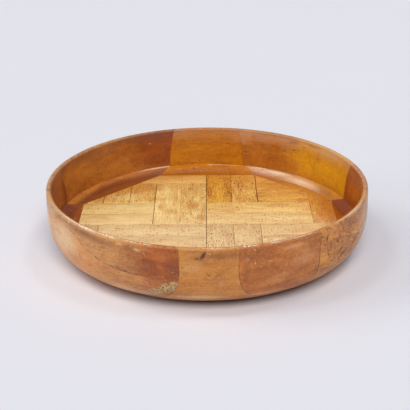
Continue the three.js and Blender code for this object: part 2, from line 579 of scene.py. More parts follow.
def write_points(piece, label, values):
    """Writes one vector on every point of a piece."""
    attribute = piece.data.attributes.new(label, "FLOAT_VECTOR", "POINT")
    attribute.data.foreach_set("vector", np.asarray(values, np.float32).ravel())


for (name, place), tone in zip(layout.items(), sum(TONES.values(), [])):
    strip = floor_strips[name]
    centre, runs_back = centre_of(place)
    lengthwise = Vector((0, 1, 0)) if runs_back else Vector((1, 0, 0))
    crosswise = Vector((lengthwise.y, -lengthwise.x, 0))
    jump = dice.uniform(0, JUMP)
    steps = [v.co - centre for v in strip.data.vertices]
    write_points(strip, "grain", [(lengthwise.dot(p), crosswise.dot(p), jump) for p in steps])
    write_points(strip, "tone", [(*tone, strip_width / 2)] * len(steps))
print("grain and tone on", len(floor_strips), "strips")

# %% [markdown]
# ## Tools for the finishes
#
# A finish is a tree of nodes. A few short helpers add a node, do a sum, or fade between two
# values. They all add to the tree that was opened last. `shade` turns the 0 to 255 numbers of
# a colour picker into the linear values that the renderer works with.

# %% Helpers for nodes
ORIGIN = (0.0, 0.0, 0.0)
HALF = (0.5, 0.5, 0.5)
bench = None


def open_tree(tree):
    """Puts a tree on the bench, for the helpers to work on."""
    global bench
    bench = tree


def plug(socket, value):
    """Links a socket to another, or sets its value."""
    if isinstance(value, bpy.types.NodeSocket):
        bench.links.new(value, socket)
    else:
        socket.default_value = value


def add(kind, settings=None, **values):
    """Adds a shader node. Values go to the inputs of that name, with _ for a space."""
    node = bench.nodes.new("ShaderNode" + kind)
    for label, value in (settings or {}).items():
        setattr(node, label, value)
    for label, value in values.items():
        plug(node.inputs[label.replace("_", " ")], value)
    return node


def add_in_order(kind, settings, values):
    """Adds a node whose inputs are filled in their order."""
    node = add(kind, settings)
    for socket, value in zip(node.inputs, values):
        plug(socket, value)
    return node.outputs


def maths(operation, *values):
    """A Math node, and gives its result."""
    return add_in_order("Math", {"operation": operation}, values)[0]


times = partial(maths, "MULTIPLY")
times_plus = partial(maths, "MULTIPLY_ADD")
minus = partial(maths, "SUBTRACT")
unsigned = partial(maths, "ABSOLUTE")


def largest(*values):
    """The largest of several values."""
    return reduce(partial(maths, "MAXIMUM"), values)


def vectors(operation, *values):
    """A Vector Math node, and gives its result."""
    gives = "Value" if operation in ("DOT_PRODUCT", "LENGTH") else "Vector"
    return add_in_order("VectorMath", {"operation": operation}, values)[gives]


def xyz(vector):
    """The three parts of a vector."""
    return add("SeparateXYZ", Vector=vector).outputs


def joined(x, y, z):
    """A vector from its three parts."""
    return add("CombineXYZ", X=x, Y=y, Z=z).outputs[0]


def fade(value, start, end, low=0.0, high=1.0):
    """Goes softly from low to high while the value goes from start to end."""
    span = {"From_Min": start, "From_Max": end, "To_Min": low, "To_Max": high}
    return add("MapRange", {"interpolation_type": "SMOOTHSTEP"}, Value=value, **span).outputs[0]


def noise(vector, scale, detail=2.0, roughness=0.5):
    """Soft noise from 0 to 1."""
    grown = {"Scale": scale, "Detail": detail, "Roughness": roughness}
    return add("TexNoise", Vector=vector, **grown).outputs[0]


def uneven(vector, scale, detail=2.0, roughness=0.5):
    """Soft noise round zero."""
    return minus(noise(vector, scale, detail, roughness), 0.5)


def stretched(vector, along, across=1.0, up=1.0):
    """A vector whose pattern is drawn out: a factor under 1 makes it longer that way."""
    return vectors("MULTIPLY", vector, (along, across, up))


def blend(factor, under, over):
    """Lays one colour over another."""
    node = add("Mix", {"data_type": "RGBA"})
    for index, value in ((0, factor), (6, under), (7, over)):
        plug(node.inputs[index], value)
    return node.outputs[2]


def layers(colour, *coats):
    """Lays coats on a colour, one after another. A coat is a mask and a colour."""
    for mask, over in coats:
        colour = blend(mask, colour, over)
    return colour


def shade(red, green, blue):
    """A colour from 0 to 255 values, made linear."""
    def linear(value):
        value /= 255
        return value / 12.92 if value <= 0.04045 else ((value + 0.055) / 1.055) ** 2.4
    return (linear(red), linear(green), linear(blue), 1.0)


print("a shade of honey is", [round(value, 3) for value in shade(226, 183, 115)])

# %% Helpers for groups and materials
SOCKETS = {float: "NodeSocketFloat", tuple: "NodeSocketVector", list: "NodeSocketColor"}


def new_group(name, gives, **takes):
    """Opens a new node group. The values that it takes show their kind: a number, a tuple for
    a vector, a list for a colour. What it gives is named with its kind."""
    group = bpy.data.node_groups.new(name, "ShaderNodeTree")
    for label, value in takes.items():
        socket = group.interface.new_socket(
            name=label.replace("_", " "), in_out="INPUT", socket_type=SOCKETS[type(value)],
        )
        socket.default_value = value
    for label, kind in gives.items():
        group.interface.new_socket(name=label, in_out="OUTPUT", socket_type=SOCKETS[kind])
    open_tree(group)
    given = group.nodes.new("NodeGroupInput").outputs
    return group, given, group.nodes.new("NodeGroupOutput").inputs


def use(group, **values):
    """Places a node group with its own values, and gives its outputs."""
    return add("Group", {"node_tree": group}, **values).outputs


def new_material(name):
    """Opens a new material. Gives it, its shader's inputs and the object's coordinates."""
    material = bpy.data.materials.new(name)
    material.use_nodes = True
    open_tree(material.node_tree)
    return material, bench.nodes["Principled BSDF"].inputs, add("TexCoord").outputs["Object"]


def finish_skin(skin, colour, roughness, relief, strength=0.35):
    """Plugs in the results of a recipe. The relief becomes a fine bump, 0.2 mm deep."""
    bumps = add("Bump", Strength=strength, Distance=0.2 * MM, Height=relief).outputs[0]
    for label, value in (("Base Color", colour), ("Roughness", roughness), ("Normal", bumps)):
        plug(skin[label], value)


def dress(piece, material):
    """Makes a material the only one on a piece."""
    piece.data.materials.clear()
    piece.data.materials.append(material)


print("inputs and outputs may be", ", ".join(SOCKETS.values()))

# %% [markdown]
# ## Wood figure
#
# Wood shows several things at once. Growth rings make bands, some millimetres wide, that bend
# gently. Mottle makes cloudy patches, drawn out along the grain. Fibres make hair-fine streaks,
# and specks the grainy look of cut fibre ends. The group takes a vector whose first axis runs
# along the grain, so that it serves a wall board, a block and a parquet strip alike.

# %% Group: wood figure
wood_figure, given, result = new_group(
    "wood figure", {"Color": list, "Height": float}, Vector=ORIGIN, Light=[0.8, 0.5, 0.3, 1.0],
    Dark=[0.4, 0.2, 0.1, 1.0], Ring_Width=0.006, Rings=0.4, Mottle=0.6, Fibre=0.3, Specks=0.3,
)
grain = given["Vector"]
wander = add("TexNoise", Vector=stretched(grain, 0.4), Scale=28.0).outputs[1]
wander = stretched(vectors("SUBTRACT", wander, HALF), 0.0, 0.006, 0.006)
bent = vectors("ADD", grain, wander)
parts = xyz(bent)
ring_place = times_plus(parts[0], 0.03, times_plus(parts[1], 0.4, parts[2]))
ring_place = maths("DIVIDE", ring_place, given["Ring Width"])
ring_noise = {"W": ring_place, "Scale": 1.0, "Detail": 3.0, "Roughness": 0.65}
bands = add("TexNoise", {"noise_dimensions": "1D"}, **ring_noise).outputs[0]
patches = noise(stretched(bent, 0.3), 75.0, 6.0, 0.68)
grit = noise(stretched(grain, 0.6), 620.0, 2.0, 0.6)
threads = noise(stretched(bent, 0.06), 800.0, 3.0, 0.7)
bands, patches, grit, threads = (
    fade(pattern, 0.3, 0.7, -0.5, 0.5) for pattern in (bands, patches, grit, threads)
)
tone = times_plus(patches, given["Mottle"], times_plus(bands, given["Rings"], 0.5))
tone = times_plus(threads, given["Fibre"], times_plus(grit, given["Specks"], tone))
plug(result["Color"], blend(tone, given["Dark"], given["Light"]))
plug(result["Height"], times_plus(bands, 0.15, times_plus(threads, 0.35, 0.5)))
print(wood_figure.name, "has", len(wood_figure.nodes), "nodes")

# %% [markdown]
# ## Pores and pits
#
# The turning cuts the vessels of a hardwood open, and they show as short dark dashes along the
# grain. A Voronoi pattern gives one cell to each possible pore, and the random colour of the
# cell decides whether there is a pore and how long it is. A slow noise gathers them in clusters.

# %% Groups: pores through a block, and pores on a flat face
def pore_group(name, dimensions):
    """Short dark dashes along the first axis of the vector."""
    group, given, result = new_group(
        name, {"Mask": float}, Vector=ORIGIN, Spacing=0.0016, Draw=0.25, Amount=0.5, Thickness=0.3,
    )
    vector = given["Vector"]
    shaken = add("TexNoise", Vector=vector, Scale=260.0).outputs[1]
    shaken = vectors("SUBTRACT", shaken, HALF)
    cell_place = vectors("ADD", vectors("DIVIDE", vector, given["Spacing"]), shaken)
    cell_place = vectors("MULTIPLY", cell_place, joined(given["Draw"], 1.0, 1.0))
    kind = {"voronoi_dimensions": dimensions}
    cells = add("TexVoronoi", kind, Vector=cell_place, Scale=1.0, Randomness=1.0).outputs
    luck = add("SeparateColor", Color=cells["Color"]).outputs
    cluster = fade(noise(stretched(vector, 0.5), 70.0, 3.0, 0.6), 0.35, 0.65, 0.2, 1.0)
    present = maths("LESS_THAN", luck[0], times(cluster, given["Amount"]))
    size = times_plus(luck[1], given["Thickness"], times(given["Thickness"], 0.5))
    plug(result["Mask"], times(fade(cells["Distance"], size, times(size, 0.6)), present))
    return group


pores = pore_group("pores", "3D")
flat_pores = pore_group("flat pores", "2D")
print(pores.name, "has", len(pores.nodes), "nodes")

# %% [markdown]
# ## Marks
#
# Age has left single marks, each in its own place. One group draws them all, as a soft ellipse
# with a ragged edge, on a flat map of the surface. On the wall that map is unrolled: how far
# round, and how far from the rim by the tape. On the floor it is simply seen from above.

# %% Groups: mark, and place on the wall
mark, given, result = new_group(
    "mark", {"Mask": float}, Place=ORIGIN, Centre=ORIGIN, Half_Size=(0.005, 0.002, 1.0), Tilt=0.0,
    Ragged=0.3, Softness=0.5,
)
offset = vectors("SUBTRACT", given["Place"], given["Centre"])
level = {"Vector": offset, "Angle": times(given["Tilt"], -1.0)}
level = add("VectorRotate", {"rotation_type": "Z_AXIS"}, **level).outputs[0]
span = vectors("LENGTH", vectors("DIVIDE", level, given["Half Size"]))
span = times_plus(times(uneven(given["Place"], 900.0, 3.0, 0.6), given["Ragged"]), 2.0, span)
plug(result["Mask"], fade(span, 1.0, minus(1.0, given["Softness"])))

wall_place, given, result = new_group("wall place", {"Place": tuple}, Vector=ORIGIN, Along=0.0)
parts = xyz(given["Vector"])
turn_angle = maths("ARCTAN2", parts[0], times(parts[1], -1.0))
plug(result["Place"], joined(times(turn_angle, outer_radius), given["Along"], 0.0))
print("mark and wall place are ready")

# %% [markdown]
# ## Joints, rim and haze
#
# A joint shows as a thin dark line where glue and dirt sit, now strong, now faint. The rim is
# where hands rub: it is worn to pale wood, most at the sides, and at the back it is dark with
# dirt. Under the rim, inside, a patchy band is laid in a greyer tone and made rougher. All over,
# the old polish lies in clouds, thick and dark here and thin there.

# %% Group: joint line
joint_line, given, result = new_group(
    "joint line", {"Mask": float}, Vector=ORIGIN, Facing=(1.0, 0.0, 0.0), Distance=0.1,
    Width=0.0004, Broken=0.75,
)
away = minus(vectors("DOT_PRODUCT", given["Vector"], given["Facing"]), given["Distance"])
gaps = noise(given["Vector"], 130.0, 2.0, 0.6)
gaps = fade(gaps, 0.38, 0.62, minus(1.0, given["Broken"]), 1.0)
plug(result["Mask"], times(fade(unsigned(away), given["Width"], 0.0), gaps))

# %% Group: rim and haze
rim_wear, given, result = new_group(
    "rim wear",
    {"Rubbed": float, "Soiled": float, "Scuffed": float, "Grime": float, "Haze": float},
    Vector=ORIGIN, Along=0.0,
)
here, reading = given["Vector"], given["Along"]
ragged = noise(here, 260.0, 4.0, 0.7)
coarse = noise(here, 22.0, 2.0, 0.5)
sideways = noise(stretched(here, 1.0, 1.0, 5.0), 34.0, 5.0, 0.66)
streaky = fade(ragged, 0.38, 0.6, 0.3, 1.0)
where = xyz(here)
from_top = times_plus(minus(ragged, 0.5), 0.004, unsigned(reading))
on_rim = fade(from_top, 0.0042, 0.0026)
at_the_sides = fade(unsigned(minus(where[0], 0.010)), 0.080, 0.125, 0.45, 1.0)
plug(result["Scuffed"], times(on_rim, fade(ragged, 0.66, 0.52)))
plug(result["Rubbed"], times(times(on_rim, at_the_sides), streaky))
inner_edge = times(fade(reading, 0.0006, 0.0016), fade(reading, 0.0052, 0.0034))
soiled = largest(inner_edge, times(on_rim, fade(where[1], 0.02, 0.10)))
plug(result["Soiled"], times(times(soiled, minus(1.0, at_the_sides)), streaky))
below = times_plus(minus(sideways, 0.5), 0.016, unsigned(minus(reading, -0.0075)))
grime = times(fade(below, 0.0085, 0.002), fade(coarse, 0.38, 0.58, 0.3, 1.0))
plug(result["Grime"], times(grime, fade(ragged, 0.4, 0.62, 0.45, 1.0)))
low_edge = times_plus(minus(sideways, 0.5), 0.04, reading)
low_edge = times_plus(minus(coarse, 0.5), 0.02, low_edge)
haze = times(fade(low_edge, 0.019, 0.003), fade(reading, -0.001, 0.003))
plug(result["Haze"], times(haze, fade(sideways, 0.38, 0.62, 0.45, 1.0)))

# %% Groups: old polish and scratches
old_polish, given, result = new_group("old polish", {"Dark": float, "Thin": float}, Vector=ORIGIN)
clouds = noise(given["Vector"], 62.0, 6.0, 0.66)
clouds = times_plus(uneven(given["Vector"], 210.0, 4.0, 0.7), 0.5, clouds)
plug(result["Dark"], fade(clouds, 0.50, 0.68))
plug(result["Thin"], fade(clouds, 0.46, 0.30))

scratches, given, result = new_group("scratches", {"Mask": float}, Vector=ORIGIN, Amount=0.5)
hairs = []
for angle in (0.35, -0.5, 1.3):
    turned = {"Vector": given["Vector"], "Axis": (0.3, 0.2, 1.0), "Angle": angle}
    turned = add("VectorRotate", {"rotation_type": "AXIS_ANGLE"}, **turned).outputs[0]
    hairs.append(fade(noise(stretched(turned, 0.03), 900.0, 1.0, 0.5), 0.7, 0.78))
where = fade(noise(given["Vector"], 35.0, 1.0, 0.5), 0.45, 0.65)
plug(result["Mask"], times(times(largest(*hairs), where), given["Amount"]))
print("joint line, rim wear, old polish and scratches are ready")

# %% [markdown]
# ## The finish of the wall
#
# All nine wall pieces share one recipe: turn the object's coordinates so that the grain runs
# along the board, mix the figure, then lay on pores, marks, wear and joints. Each board only
# brings its own woods and its own marks. Bruises are dark dents and open grain, and flakes lie
# along the rim. Scuffs are pale, and the same pale marks paint a sheen at the side edges, a
# reflection of the floor low down and highlights along the inner step. Clouds are where the old
# polish lies thick, and on the inner step some clouds are painted shade, as are the purple marks
# there and the darkened foot of the step. Bare marks are where the polish has come off.

# %% Joint planes and colours
joint_planes = {**side_distance, "butt": split_distance}
OLD_POLISH = 0.22
INSIDE_SEAMS = 0.25
STEP_READINGS = (37 * MM, 41 * MM)
STEP_TOP = 23.0
STEP_FOOT = 18.6
BRUISE = shade(84, 42, 24)
# Pale wood for scuffs, also laid as painted sheen and painted highlights.
SCUFF = shade(238, 212, 170)
BARE_DARK = shade(116, 84, 54)
DIRT = shade(52, 28, 18)
DRY = shade(206, 152, 96)
# Dark old polish, also laid as painted shade at the foot of the inner step.
POLISH = shade(128, 62, 26)
RIM_WOOD = shade(206, 164, 126)
RIM_DIRT = shade(104, 54, 34)
FLAKED = shade(244, 226, 200)
PORE = shade(104, 54, 26)

# The kinds of marks in the order in which they are laid: colour, ragged edge, softness
STYLES = {
    "cloud": (shade(120, 58, 30), 0.35, 1.0), "bruise": (BRUISE, 0.45, 0.7),
    "scuff": (SCUFF, 0.5, 0.8), "flake": (FLAKED, 1.1, 0.7),
    "purple": (shade(104, 46, 40), 0.2, 0.6), "bare": (shade(200, 168, 108), 0.6, 0.25),
}
print(len(joint_planes), "joint planes and", len(STYLES), "kinds of marks")

# %% Marks laid on a map of the surface
def round_to(azimuth):
    """How far round the unrolled wall an angle from the front lies."""
    return math.radians(azimuth) * outer_radius


def on_the_wall(rows, tape_at):
    """Rows that start with an angle and a height, with their centres on the unrolled wall."""
    return [((round_to(angle), tape_at(height), 0.0), *rest) for angle, height, *rest in rows]


def on_the_floor(*rows):
    """Rows that start with a place seen from above, in millimetres."""
    return [((right * MM, back * MM, 0.0), *rest) for right, back, *rest in rows]


def lay_marks(place, rows, style):
    """One mask for several marks: centre, length and width in mm, strength, tilt in degrees."""
    total = 0.0
    for centre, length, width, strength, *tilt in rows:
        mask = use(
            mark, Place=place, Centre=centre, Half_Size=(length / 2 * MM, width / 2 * MM, 1.0),
            Tilt=math.radians(sum(tilt)), Ragged=style[1], Softness=style[2],
        )["Mask"]
        total = largest(total, times(mask, strength))
    return total

# %% Wood, pores and pits of a wall piece
def wall_wood(name, slope, light, dark, drift, figure, place, here, pits, pit_size):
    """The bare wood: its colour, its relief and the mask of its open pores. A drift leads from
    the first two woods to two others, between two angles."""
    facing = {**BOARDS, **BLOCKS}[name]
    level = {"Vector": here, "Rotation": (0.0, 0.0, -math.radians(facing + 90))}
    level = add("Mapping", **level).outputs[0]
    sloped = {"Rotation": (0.0, math.radians(slope), 0.0), "Location": (facing * MM, 0.0, 0.0)}
    grain = add("Mapping", Vector=level, **sloped).outputs[0]
    light, dark = shade(*light), shade(*dark)
    if drift:
        far_light, far_dark, from_angle, to_angle = drift
        parts = xyz(place)
        far = times_plus(uneven(grain, 55.0, 3.0, 0.6), 0.05, parts[0])
        far = fade(far, round_to(from_angle), round_to(to_angle))
        far = times(far, fade(parts[1], 0.040, 0.034, 0.4, 1.0))
        light, dark = blend(far, light, shade(*far_light)), blend(far, dark, shade(*far_dark))
    wood = use(wood_figure, Vector=grain, Light=light, Dark=dark, **figure)
    colour = wood["Color"]
    if name == HEARTWOOD_BOARD:
        colour = lay_sapwood(colour, place, here, grain)
    fine = use(pores, Vector=grain, Spacing=0.0013, Draw=0.4, Amount=0.5)["Mask"]
    deep = {"Spacing": 0.0026, "Draw": 0.5, "Amount": pits, "Thickness": pit_size}
    deep = use(pores, Vector=grain, **deep)["Mask"]
    colour = layers(colour, (times(fine, 0.36), PORE), (times(deep, 0.75), BRUISE))
    return colour, wood["Height"], deep

# %% The recipe for a wall piece
def wall_finish(
    name, light, dark, figure, joints, pits, haze=(0.5, (172, 124, 98)), slope=0.0, drift=None,
    step_shine=0.5, foot=0.25, patina=1.0, pit_size=0.24, **marks,
):
    """The polished wood of one wall piece."""
    material, skin, here = new_material(name)
    reading = add("Attribute", {"attribute_name": "along"}).outputs["Fac"]
    place = use(wall_place, Vector=here, Along=reading)["Place"]
    colour, grain_relief, specks = wall_wood(
        name, slope, light, dark, drift, figure, place, here, pits, pit_size,
    )
    masks = dict.fromkeys(STYLES, 0.0)
    for kind, style in STYLES.items():
        rows = on_the_wall(marks.get(kind, []), outside_at)
        rows += on_the_wall(marks.get("inside_" + kind, []), inside_at)
        if rows:
            masks[kind] = lay_marks(place, rows, style)
            laid = style[0]
            if kind == "bare":
                laid = blend(fade(noise(here, 420.0, 4.0, 0.7), 0.44, 0.6), laid, BARE_DARK)
            if kind != "flake":
                colour = blend(masks[kind], colour, laid)

    wear = use(rim_wear, Vector=here, Along=reading)
    polish = use(old_polish, Vector=here)
    hazy = times(wear["Haze"], haze[0])
    flakes = []
    if "flake" in marks:
        chips = fade(noise(here, 560.0, 3.0, 0.7), 0.42, 0.56)
        flakes.append((times(masks["flake"], chips), FLAKED))
    seams = 0.0
    for plane, strength in joints.items():
        way = split if plane == "butt" else direction(plane)
        distance = way.dot(middle) + joint_planes[plane]
        seam = use(joint_line, Vector=here, Facing=tuple(way), Distance=distance)["Mask"]
        seams = largest(seams, times(seam, strength))
    seams = times(seams, fade(reading, -0.03, 0.002, 1.0, INSIDE_SEAMS))
    colour = layers(
        colour, (times(polish["Dark"], fade(reading, 0.0, -0.005, 0.22, 0.42 * patina)), POLISH),
        (times(polish["Thin"], fade(reading, 0.0, -0.005, 0.0, 0.4 * patina)), DRY),
        # Painted shade: the foot of the inner step is darkened towards the floor.
        (fade(reading, inside_at(STEP_TOP), inside_at(STEP_FOOT), 0.0, foot), POLISH),
        (hazy, shade(*haze[1])), (times(wear["Grime"], 0.3), RIM_DIRT),
        (use(scratches, Vector=here, Amount=0.4)["Mask"], SCUFF),
        (times(wear["Soiled"], 0.65), RIM_DIRT), (times(wear["Rubbed"], 0.75), RIM_WOOD), *flakes,
        (seams, DIRT),
    )
    on_the_step = fade(reading, *STEP_READINGS)
    worn = largest(
        wear["Rubbed"], wear["Soiled"], hazy, times(fade(reading, -0.002, -0.008), 0.6),
        times(on_the_step, max(0.0, 1.0 - 2.0 * step_shine)), wear["Scuffed"], masks["bare"],
    )
    dull = fade(noise(here, 38.0, 3.0, 0.6), 0.3, 0.7, OLD_POLISH - 0.06, OLD_POLISH + 0.1)
    shine = times_plus(on_the_step, step_shine - 0.5, 0.5)
    shine = times(shine, fade(wear["Scuffed"], 0.0, 1.0, 1.0, 0.25))
    plug(skin["Specular IOR Level"], shine)
    relief = times_plus(largest(specks, seams, masks["bruise"]), -1.0, grain_relief)
    relief = times_plus(wear["Soiled"], -0.5, relief)
    finish_skin(skin, colour, times_plus(worn, 0.3, dull), relief)
    return material

# %% [markdown]
# ## Heartwood and sapwood
#
# On the front left board the turning has cut through the edge of the heart of the tree. Pale
# sapwood lies below the line and orange heartwood above it. The line is drawn as a Float Curve:
# along the bottom runs the angle round the bowl, and the curve gives the height at which one
# wood meets the other. Dark flecks of the growing layer follow it.

# %% The heartwood line, as angles and heights
HEARTWOOD_BOARD = "board_front_left"
HEARTWOOD_LINE = [
    (-84, 50), (-74, 55), (-64, 58), (-55, 56.5), (-48, 51), (-43, 44.8), (-39, 40.3), (-32, 36.9),
    (-23, 35), (-8, 31),
]
SAPWOOD = {"Light": shade(231, 162, 89), "Dark": shade(206, 127, 60)}


def lay_sapwood(colour, place, here, grain):
    """Lays pale sapwood below the heartwood line."""
    from_angle, to_angle = HEARTWOOD_LINE[0][0], HEARTWOOD_LINE[-1][0]
    sideways = xyz(place)[0]
    start, end = round_to(from_angle), round_to(to_angle)
    share = add("MapRange", Value=sideways, From_Min=start, From_Max=end).outputs[0]
    curve = add("FloatCurve", Value=share)
    drawn = curve.mapping.curves[0]
    points = [((angle - from_angle) / (to_angle - from_angle), height / TOP)
              for angle, height in HEARTWOOD_LINE]
    for x, y in points[1:-1]:
        drawn.points.new(x, y)
    drawn.points[0].location = points[0]
    drawn.points[len(points) - 1].location = points[-1]
    curve.mapping.update()
    above = minus(xyz(here)[2], times(curve.outputs[0], rim_height))
    above = times_plus(uneven(stretched(grain, 0.4), 140.0, 3.0, 0.6), 0.006, above)
    figure = {"Ring_Width": 0.009, "Rings": 0.3, "Mottle": 0.5, "Fibre": 0.2}
    pale = use(wood_figure, Vector=grain, **SAPWOOD, **figure)["Color"]
    under = fade(sideways, start * 0.35, start * 0.62, 0.25, 1.0)
    under = times(fade(above, 0.002, -0.004), under)
    flecks = fade(noise(here, 75.0, 3.0, 0.6), 0.45, 0.62)
    flecks = times(flecks, fade(sideways, start * 0.8, start * 0.6, 0.1, 0.55))
    flecks = times(fade(unsigned(above), 0.0011, 0.0002), flecks)
    return layers(colour, (under, pale), (flecks, BRUISE))


print("the heartwood line has", len(HEARTWOOD_LINE), "points")

# %% [markdown]
# ## Nine boards, nine finishes
#
# The maker used whatever offcuts were at hand, so tan, orange, red brown and amber woods sit
# side by side. The marks were read off the bowl one by one. Each is a row: its angle from the
# front and its height, its length and width in millimetres, its strength, and its tilt.

# %% Figures of the wood
PLAIN = {"Ring_Width": 0.007, "Rings": 0.25, "Mottle": 0.65, "Fibre": 0.35, "Specks": 0.3}
LIVELY = {"Ring_Width": 0.005, "Rings": 0.35, "Mottle": 0.85, "Fibre": 0.35, "Specks": 0.42}
QUIET = {"Ring_Width": 0.009, "Rings": 0.2, "Mottle": 0.4, "Fibre": 0.3, "Specks": 0.4}


def finish_wall(name, slot, **recipe):
    """Makes the finish of a wall piece and puts it on."""
    dress(wall[name], wall_finish(name, **recipe))
    print(name, "is finished as", slot)


print("three figures of wood: plain, lively and quiet")

# %% The front left board
finish_wall(
    "board_front_left", "wall_tan", light=(214, 152, 85), dark=(173, 109, 54),
    drift=((183, 96, 23), (137, 61, 11), -34, -14), figure=LIVELY, slope=6.0, joints={225: 0.75},
    pits=0.12, patina=0.6,
    cloud=[(-11, 44, 22, 34, 0.6), (-22, 42, 70, 20, 0.3, -6), (-42, 58, 96, 11, 0.62, -3)],
    bruise=[
        (-52.8, 39.5, 1.6, 1.6, 0.8), (-47, 35.7, 2.6, 5.0, 0.35), (-38.5, 40.5, 9, 2.0, 0.6, -28),
        (-32, 37.2, 7, 2.2, 0.85, -18), (-27, 36.4, 6, 3.0, 0.7, -10),
        (-22.5, 35.4, 14, 2.4, 0.5, -4), (-64, 50.5, 26, 1.3, 0.35, 12), (-56, 61, 4, 3, 0.5, 20),
        (-17, 62.4, 1.6, 1.6, 0.9), (-10, 59.5, 1.4, 5.5, 0.5, 12), (-15, 24, 9, 3.5, 0.3, 10),
    ],
    # Pale marks: the two large patches at the left edge are a painted sheen, the band at 15.5 mm
    # high a painted reflection of the floor, and the rest are scuffs and rubs.
    scuff=[
        (-70, 57, 50, 14, 0.35, 4), (-25, 15.5, 70, 8, 0.35), (-48, 63.4, 150, 2.4, 0.7),
        (-67, 49.5, 22, 1.6, 0.7, 12), (-29, 59.5, 9, 2.2, 0.45, -6),
        (-22.8, 57.4, 9, 3.4, 0.5, -5), (-20.2, 55, 4.5, 1.0, 0.5, -50),
        (-20, 28.4, 8, 0.9, 0.6, -42), (-82, 40, 80, 54, 0.9), (-58, 41, 70, 44, 0.6, 8),
    ],
    bare=[(-12.0, 26, 25, 13, 0.85, 24), (-16.5, 20.5, 23, 9, 0.75, 10)],
    flake=[
        (-53, 63.4, 30, 2.0, 0.9), (-43.6, 63.3, 28, 4.2, 1.0), (-33.5, 63.3, 24, 3.2, 1.0),
        (-22.4, 63.3, 36, 1.8, 0.85), (-52.5, 61.6, 3.0, 1.8, 0.8, -30),
    ],
)

# %% The front block
finish_wall(
    "block_front", "wall_orange", light=(212, 142, 60), dark=(178, 106, 38), figure=PLAIN,
    joints={270: 0.4, 225: 0.75, 315: 0.7}, pits=0.1, patina=0.7,
    cloud=[(3, 57, 60, 10, 0.42), (6, 44, 20, 12, 0.2, 10)],
    bruise=[
        (-1.3, 57.4, 12, 4.4, 1.0, 60), (-3.2, 54.6, 4.5, 2.6, 0.8),
        (0.4, 40.2, 5.0, 1.6, 0.8, -20), (3.2, 39.2, 4.5, 1.3, 0.75, 24),
        (-2.2, 29.5, 1.3, 1.3, 0.7), (-9.0, 53, 2.0, 9, 0.25),
    ],
    # Pale marks: the band at 15.8 mm high is a painted reflection of the floor, the rest are
    # scuffs.
    scuff=[
        (0.8, 58.7, 1.6, 1.6, 1.0), (-4.5, 47.5, 28, 13, 0.12, 8), (4, 33, 28, 9, 0.07, -6),
        (9.2, 46, 1.3, 1.3, 0.6), (-3, 15.8, 70, 8, 0.45),
    ],
    flake=[(1.5, 63.3, 28, 1.6, 0.85), (8.6, 63.4, 8, 1.2, 0.7)],
)

# %% The front right board, near length
finish_wall(
    "board_front_right_near", "wall_red_brown", light=(205, 125, 48), dark=(161, 85, 30),
    figure=LIVELY, joints={315: 0.7, "butt": 0.95}, pits=0.1, patina=0.55,
    cloud=[
        (12.5, 42, 12, 34, 0.5), (19, 38, 44, 34, 0.3, 10), (27, 50, 40, 12, 0.2),
        (15, 53, 24, 14, 0.3),
    ],
    bruise=[
        (12, 58, 2.4, 2, 0.6), (28, 30, 1.6, 3, 0.5), (39.0, 55.7, 3, 2.4, 0.6),
        (39.3, 36, 2.2, 34, 0.8, -2), (38.0, 30, 3.4, 12, 0.4),
    ],
    # Pale marks: the band at 15.5 mm high is a painted reflection of the floor, the rest are
    # scuffs.
    scuff=[
        (33, 44, 44, 20, 0.1, 10), (23, 31, 50, 10, 0.07, 8), (29, 57, 30, 6, 0.2),
        (20, 15.5, 50, 7, 0.3), (28, 63.4, 70, 2.2, 0.5), (15, 60, 4, 1.0, 0.7, -60),
        (15.2, 48.2, 3, 1.0, 0.7, 80), (33.8, 55.5, 3.4, 0.9, 0.7, 15),
        (12.2, 18.9, 4.5, 1.8, 0.8, -40), (12.5, 52, 7, 5, 0.15),
    ],
    flake=[(13.2, 63.3, 19, 2.2, 1.0), (21.6, 63.3, 16, 1.8, 0.95), (33, 63.3, 26, 1.4, 0.6)],
)

# %% The front right board, far length
finish_wall(
    "board_front_right_far", "wall_tan", light=(229, 153, 65), dark=(172, 100, 36), figure=LIVELY,
    slope=-9.0, joints={315: 0.5, "butt": 0.95}, pits=1.0, pit_size=0.34,
    # The large pale patch at 72 degrees is a painted sheen towards the right edge; the line on the
    # rim is wear.
    scuff=[(60, 63.4, 90, 3.0, 0.8), (72, 40, 50, 50, 0.3, 10)],
    bruise=[
        (42.6, 53.5, 10, 2.6, 1.0, 76), (48, 46.5, 5, 3, 1.0, -40), (44.5, 46, 3, 5, 0.7),
        (46.5, 56, 2.2, 2.2, 0.8), (52.5, 52, 3.4, 1.8, 0.8, 30), (43.5, 38, 1.8, 3.4, 0.8),
        (55, 44, 4, 1.8, 0.8, 20), (61, 53, 5, 1.6, 0.7, 30), (50, 37, 12, 3.2, 0.9, 34),
        (52, 31, 24, 3.5, 0.9, 28), (60, 36, 28, 3.5, 0.9, 26), (58, 27, 18, 2.9, 0.9, 24),
        (66, 43, 22, 3.2, 0.9, 20), (70, 33, 18, 3.2, 0.9, 24), (47, 21, 14, 2.9, 0.9, 30),
        (63, 60, 34, 2.4, 0.6, 4), (46, 30, 4, 2.4, 0.9, 30), (74, 50, 30, 3, 0.7, 14),
        (80, 38, 26, 3, 0.6, 16),
    ],
)

# %% The right block
finish_wall(
    "block_right", "wall_red_brown", light=(190, 93, 4), dark=(149, 65, 4), figure=LIVELY,
    # The large pale patch outside is a painted sheen at the right edge.
    joints={0: 0.5, 46: 0.6, 315: 0.6}, pits=0.1, scuff=[(84, 42, 60, 60, 0.6)],
    # The purple mark on the inner step is painted shade.
    inside_cloud=[(106, 38, 12, 44, 0.5)], inside_purple=[(106, 20.5, 70, 24, 0.65)],
)

